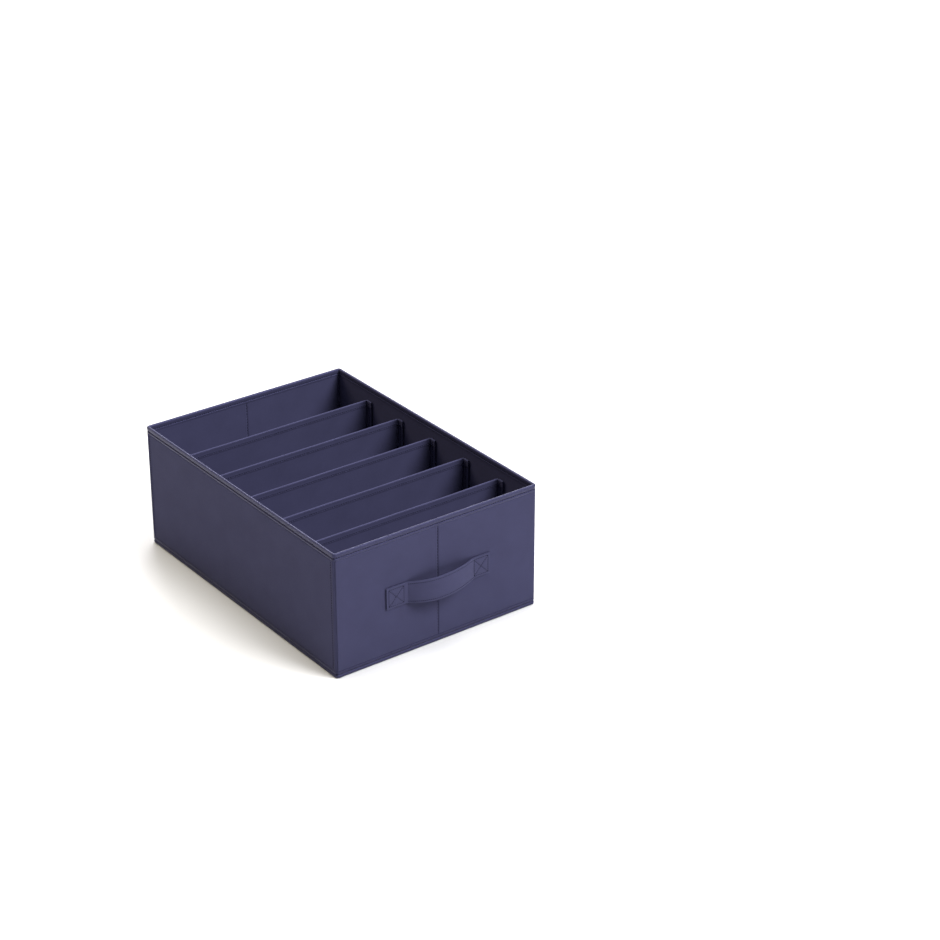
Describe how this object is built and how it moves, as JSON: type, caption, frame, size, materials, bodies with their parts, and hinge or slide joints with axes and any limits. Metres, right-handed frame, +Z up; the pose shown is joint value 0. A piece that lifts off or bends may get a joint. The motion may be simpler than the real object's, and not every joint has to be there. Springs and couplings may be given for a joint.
{
  "type": "fabric storage bin",
  "caption": "Open rectangular cloth storage bin with stiffened folding walls, cross dividers that make clothes compartments, and a webbing grab handle.",
  "frame": {"origin": "centre of the footprint on the surface the bin stands on", "axes": "+X right across the handle wall, +Y to the back away from the handle, +Z up"},
  "size_m": [0.35, 0.5169, 0.197],
  "materials": {
    "navy_cloth": "matt non-woven cloth",
    "navy_lining": "matt non-woven cloth",
    "navy_tape": "folded binding of the same cloth",
    "strap_webbing": "doubled cloth strap with edge stitching",
    "thread": "polyester sewing thread",
    "closure_tape": "hook-and-loop tape",
    "stiffener_board": "grey board"
  },
  "bodies": {
    "base": {"base_cloth": "navy_cloth", "base_board": "stiffener_board", "base_lining": "navy_lining", "base_piping": "navy_tape", "base_loop_tape": "closure_tape", "base_hinge_tape": "navy_cloth"},
    "left_wall": {"left_cloth": "navy_cloth", "left_board": "stiffener_board", "left_lining": "navy_lining", "left_rim_tape": "navy_tape", "left_hem_tape": "navy_tape", "corner_tape_front_left": "navy_tape", "corner_tape_back_left": "navy_tape", "divider_tabs_left": "navy_cloth"},
    "front_left_panel": {"front_left_cloth": "navy_cloth", "front_left_board": "stiffener_board", "front_left_lining": "navy_lining", "front_left_rim_tape": "navy_tape", "front_left_hem_tape": "navy_tape", "front_left_hook_tape": "closure_tape", "handle_strap": "strap_webbing", "handle_stitches_left": "thread"},
    "front_right_panel": {"front_right_cloth": "navy_cloth", "front_right_board": "stiffener_board", "front_right_lining": "navy_lining", "front_right_rim_tape": "navy_tape", "front_right_hem_tape": "navy_tape", "front_right_hook_tape": "closure_tape", "handle_stitches_right": "thread"},
    "right_wall": {"right_cloth": "navy_cloth", "right_board": "stiffener_board", "right_lining": "navy_lining", "right_rim_tape": "navy_tape", "right_hem_tape": "navy_tape", "right_hook_tape": "closure_tape", "corner_tape_front_right": "navy_tape", "corner_tape_back_right": "navy_tape", "divider_tabs_right": "navy_cloth"},
    "back_left_panel": {"back_left_cloth": "navy_cloth", "back_left_board": "stiffener_board", "back_left_lining": "navy_lining", "back_left_rim_tape": "navy_tape", "back_left_hem_tape": "navy_tape", "back_left_hook_tape": "closure_tape"},
    "back_right_panel": {"back_right_cloth": "navy_cloth", "back_right_board": "stiffener_board", "back_right_lining": "navy_lining", "back_right_rim_tape": "navy_tape", "back_right_hem_tape": "navy_tape", "back_right_hook_tape": "closure_tape"},
    "divider_1_left_half": {"divider_1_left": "navy_cloth"},
    "divider_1_right_half": {"divider_1_right": "navy_cloth"},
    "divider_2_left_half": {"divider_2_left": "navy_cloth"},
    "divider_2_right_half": {"divider_2_right": "navy_cloth"},
    "divider_3_left_half": {"divider_3_left": "navy_cloth"},
    "divider_3_right_half": {"divider_3_right": "navy_cloth"},
    "divider_4_left_half": {"divider_4_left": "navy_cloth"},
    "divider_4_right_half": {"divider_4_right": "navy_cloth"},
    "divider_5_left_half": {"divider_5_left": "navy_cloth"},
    "divider_5_right_half": {"divider_5_right": "navy_cloth"}
  },
  "joints": [
    {"name": "base_flap", "type": "hinge", "parent": "base", "child": "left_wall", "pos_m": [-0.175, 0, 0.00615], "axis": [0, -1, 0], "range_deg": [0, 90]},
    {"name": "collapse", "type": "hinge", "parent": "left_wall", "child": "front_left_panel", "pos_m": [-0.1706, -0.2456, 0.1], "axis": [0, 0, 1], "range_deg": [0, 80], "deforming": ["handle_strap"]},
    {"name": "front_crease", "type": "hinge", "parent": "front_left_panel", "child": "front_right_panel", "pos_m": [0, -0.25, 0.1], "axis": [0, 0, 1], "range_deg": [-160, 0]},
    {"name": "right_wall_fold", "type": "hinge", "parent": "front_right_panel", "child": "right_wall", "pos_m": [0.1706, -0.2456, 0.1], "axis": [0, 0, 1], "range_deg": [0, 80]},
    {"name": "back_fold", "type": "hinge", "parent": "left_wall", "child": "back_left_panel", "pos_m": [-0.1706, 0.25, 0.1], "axis": [0, 0, 1], "range_deg": [0, 80]},
    {"name": "back_crease", "type": "hinge", "parent": "back_left_panel", "child": "back_right_panel", "pos_m": [0, 0.2456, 0.1], "axis": [0, 0, 1], "range_deg": [-160, 0]},
    {"name": "divider_1_fold", "type": "hinge", "parent": "left_wall", "child": "divider_1_left_half", "pos_m": [-0.1706, -0.16447, 0.1], "axis": [0, 0, 1], "range_deg": [0, 80]},
    {"name": "divider_1_crease", "type": "hinge", "parent": "divider_1_left_half", "child": "divider_1_right_half", "pos_m": [0, -0.16887, 0.1], "axis": [0, 0, 1], "range_deg": [-160, 0]},
    {"name": "divider_2_fold", "type": "hinge", "parent": "left_wall", "child": "divider_2_left_half", "pos_m": [-0.1706, -0.08113, 0.1], "axis": [0, 0, 1], "range_deg": [0, 80]},
    {"name": "divider_2_crease", "type": "hinge", "parent": "divider_2_left_half", "child": "divider_2_right_half", "pos_m": [0, -0.08553, 0.1], "axis": [0, 0, 1], "range_deg": [-160, 0]},
    {"name": "divider_3_fold", "type": "hinge", "parent": "left_wall", "child": "divider_3_left_half", "pos_m": [-0.1706, 0.0022, 0.1], "axis": [0, 0, 1], "range_deg": [0, 80]},
    {"name": "divider_3_crease", "type": "hinge", "parent": "divider_3_left_half", "child": "divider_3_right_half", "pos_m": [0, -0.0022, 0.1], "axis": [0, 0, 1], "range_deg": [-160, 0]},
    {"name": "divider_4_fold", "type": "hinge", "parent": "left_wall", "child": "divider_4_left_half", "pos_m": [-0.1706, 0.08553, 0.1], "axis": [0, 0, 1], "range_deg": [0, 80]},
    {"name": "divider_4_crease", "type": "hinge", "parent": "divider_4_left_half", "child": "divider_4_right_half", "pos_m": [0, 0.08113, 0.1], "axis": [0, 0, 1], "range_deg": [-160, 0]},
    {"name": "divider_5_fold", "type": "hinge", "parent": "left_wall", "child": "divider_5_left_half", "pos_m": [-0.1706, 0.16887, 0.1], "axis": [0, 0, 1], "range_deg": [0, 80]},
    {"name": "divider_5_crease", "type": "hinge", "parent": "divider_5_left_half", "child": "divider_5_right_half", "pos_m": [0, 0.16447, 0.1], "axis": [0, 0, 1], "range_deg": [-160, 0]}
  ],
  "couplings": [
    {"joint": "front_crease", "follows": "collapse", "ratio": -2},
    {"joint": "right_wall_fold", "follows": "collapse", "ratio": 1},
    {"joint": "back_fold", "follows": "collapse", "ratio": 1},
    {"joint": "back_crease", "follows": "collapse", "ratio": -2},
    {"joint": "divider_1_fold", "follows": "collapse", "ratio": 1},
    {"joint": "divider_1_crease", "follows": "collapse", "ratio": -2},
    {"joint": "divider_2_fold", "follows": "collapse", "ratio": 1},
    {"joint": "divider_2_crease", "follows": "collapse", "ratio": -2},
    {"joint": "divider_3_fold", "follows": "collapse", "ratio": 1},
    {"joint": "divider_3_crease", "follows": "collapse", "ratio": -2},
    {"joint": "divider_4_fold", "follows": "collapse", "ratio": 1},
    {"joint": "divider_4_crease", "follows": "collapse", "ratio": -2},
    {"joint": "divider_5_fold", "follows": "collapse", "ratio": 1},
    {"joint": "divider_5_crease", "follows": "collapse", "ratio": -2}
  ]
}
